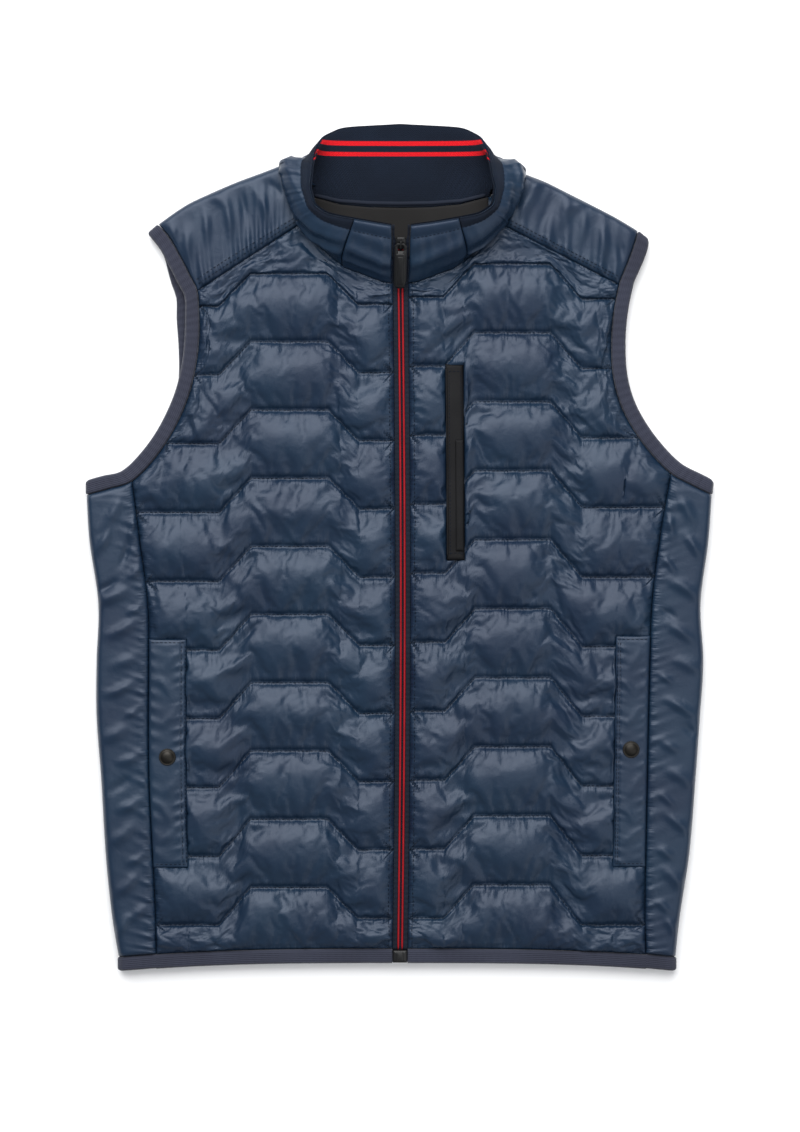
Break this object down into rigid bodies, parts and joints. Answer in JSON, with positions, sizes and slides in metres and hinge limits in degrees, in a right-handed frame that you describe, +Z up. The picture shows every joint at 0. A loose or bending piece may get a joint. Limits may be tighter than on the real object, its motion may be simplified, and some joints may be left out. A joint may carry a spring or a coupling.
{
  "type": "quilted vest",
  "caption": "Padded sleeveless vest with a stand collar, a full front zip, wave quilting, hand pockets and a chest pocket, laid flat.",
  "frame": {"origin": "bottom centre of the bounding box, on the surface that the vest lies on", "axes": "+Z up out of the surface, +Y towards the collar, +X towards the wearer's left"},
  "size_m": [0.54, 0.73, 0.0434],
  "materials": {
    "shell": "satin woven nylon, padded and quilted",
    "binding": "matte elastic rib",
    "collar_knit": "soft brushed knit with two red stripes",
    "lining": "matte plain weave",
    "zip_tape": "matte woven tape with a red stripe",
    "zip_chain": "moulded nylon coil",
    "chest_strip": "coated tape, satin",
    "zip_fittings": "matte painted",
    "snap": "dark gunmetal"
  },
  "bodies": {
    "vest": {"back_panel": "shell", "front_panel_right": "shell", "front_panel_left": "shell", "side_panel_right": "shell", "side_panel_left": "shell", "yoke_right": "shell", "yoke_left": "shell", "collar_back": "shell", "collar_front_right": "shell", "collar_front_left": "shell", "hand_pocket_right": "shell", "hand_pocket_left": "shell", "armhole_binding_right": "binding", "armhole_binding_left": "binding", "hem_binding": "binding", "collar_knit": "collar_knit", "neck_lining": "lining", "zip_tape_right": "zip_tape", "zip_tape_left": "zip_tape", "zip_chain": "zip_chain", "chest_pocket": "chest_strip", "chest_pull": "chest_strip", "zip_slider": "zip_fittings", "zip_box": "zip_fittings", "snap_right": "snap", "snap_left": "snap"},
    "zip_pull": {"zip_pull": "zip_fittings"}
  },
  "joints": [
    {"name": "zip_pull_hinge", "type": "hinge", "parent": "vest", "child": "zip_pull", "pos_m": [0.00085, 0.25808, 0.03589], "axis": [-1, 0.0076, 0.0044], "range_deg": [0, 150]}
  ]
}
